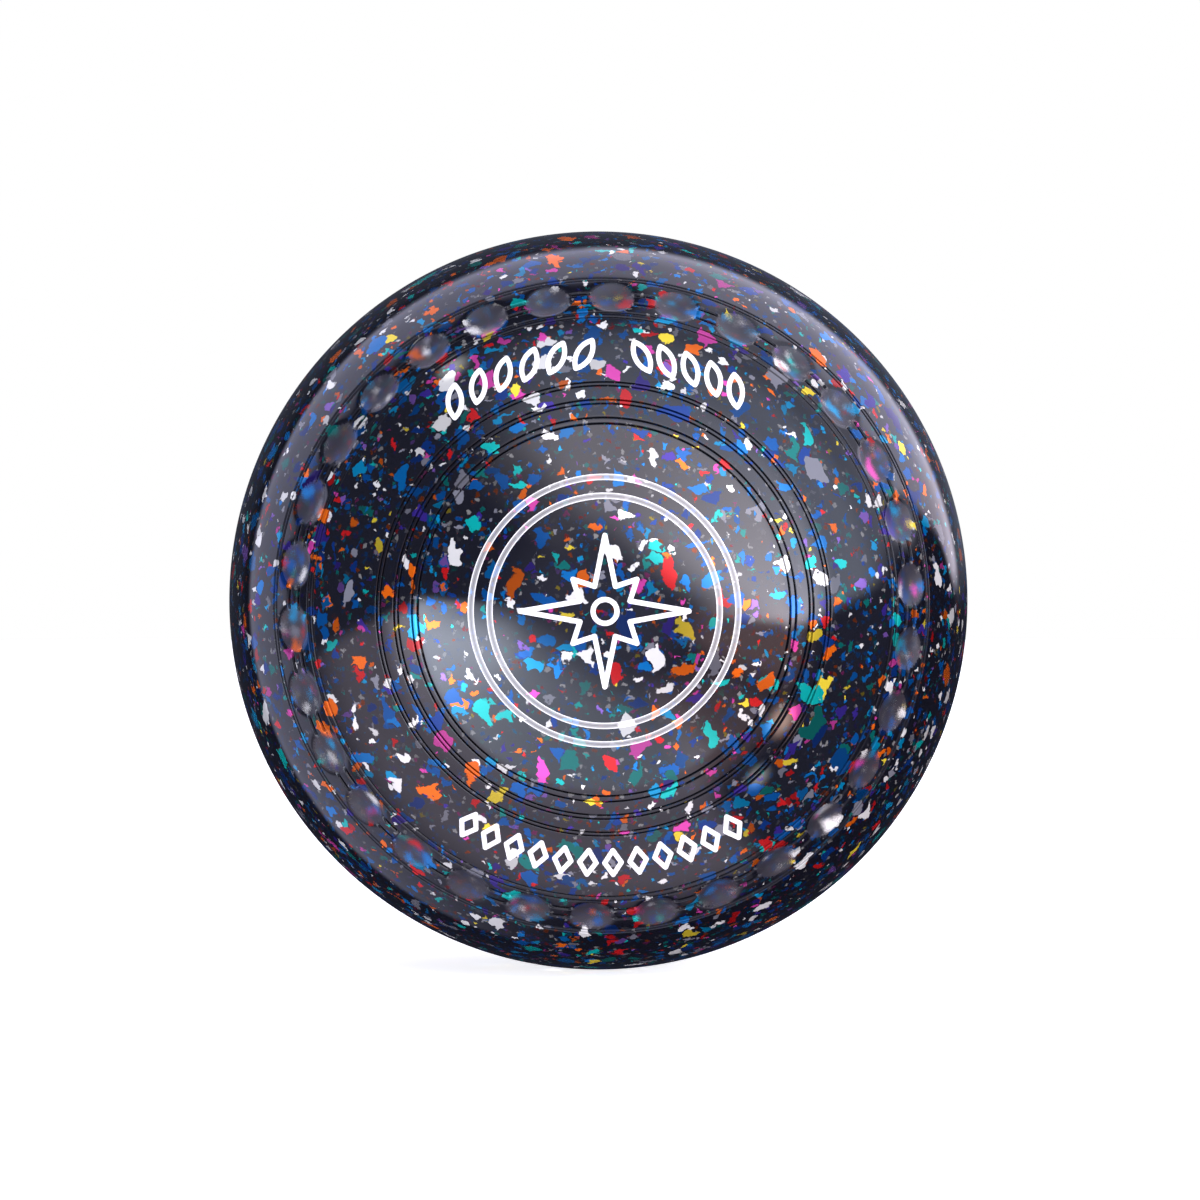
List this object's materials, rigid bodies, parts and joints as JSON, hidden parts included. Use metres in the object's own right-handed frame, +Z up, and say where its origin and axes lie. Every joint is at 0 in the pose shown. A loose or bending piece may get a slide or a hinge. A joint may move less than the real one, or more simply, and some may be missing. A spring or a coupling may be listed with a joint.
{
  "type": "lawn bowl",
  "caption": "Biased lawn bowl of speckled dark resin over a moulded core, with turned grooves, a ring of finger dimples and enamel-filled engraving on each face.",
  "frame": {"origin": "on the axis of rotation, midway between the two faces", "axes": "+Y along the axis of rotation, from the front face to the rear face; the front face looks towards -Y; +Z up, with the marks upright"},
  "size_m": [0.125, 0.1166, 0.125],
  "materials": {
    "speckled_resin": "polished near-black resin with flush multicoloured chips; frosted in the finger dimples",
    "core_resin": "plain as-moulded resin",
    "ring_enamel": "thin white enamel, half see-through in the middle of the band and solid at its edges",
    "mark_enamel": "solid white enamel, satin"
  },
  "bodies": {
    "root": {"core": "core_resin", "front_inner_ring_enamel": "ring_enamel", "front_left_leaves_enamel": "mark_enamel", "front_lozenges_enamel": "mark_enamel", "front_outer_ring_enamel": "ring_enamel", "front_right_leaves_enamel": "mark_enamel", "front_star_enamel": "mark_enamel", "rear_inner_ring_enamel": "ring_enamel", "rear_left_leaves_enamel": "mark_enamel", "rear_lozenges_enamel": "mark_enamel", "rear_outer_ring_enamel": "ring_enamel", "rear_right_leaves_enamel": "mark_enamel", "rear_star_enamel": "mark_enamel", "shell": "speckled_resin"}
  },
  "joints": []
}
